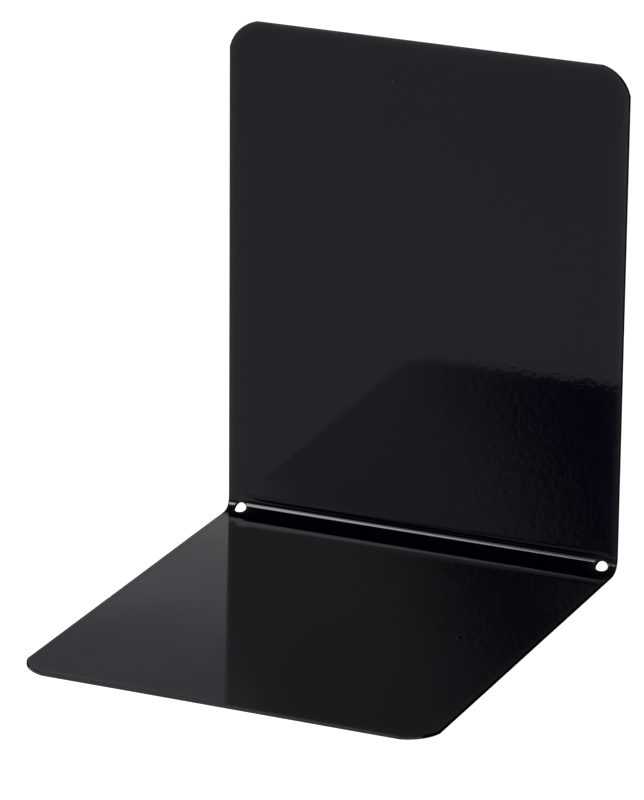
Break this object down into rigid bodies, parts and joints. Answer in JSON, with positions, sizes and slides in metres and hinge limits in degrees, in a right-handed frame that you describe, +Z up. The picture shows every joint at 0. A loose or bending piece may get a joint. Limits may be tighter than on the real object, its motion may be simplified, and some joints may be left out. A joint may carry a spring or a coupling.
{
  "type": "book end",
  "caption": "L-shaped book end folded from a sheet of gloss black enamelled steel, with rounded free corners, hanging holes in the bend and thin non-slip pads under the base.",
  "frame": {"origin": "under the middle of the whole object, on the surface that its pads stand on", "axes": "+Z up, -Y out of the front edge of the base, where the books stand, +X to the right for someone who faces the book side"},
  "size_m": [0.12, 0.14, 0.149],
  "materials": {
    "black_enamel": "gloss",
    "pad_foam": "matte"
  },
  "bodies": {
    "root": {"folded_steel_sheet": "black_enamel", "pad_front_left": "pad_foam", "pad_front_right": "pad_foam", "pad_rear_left": "pad_foam", "pad_rear_right": "pad_foam"}
  },
  "joints": []
}
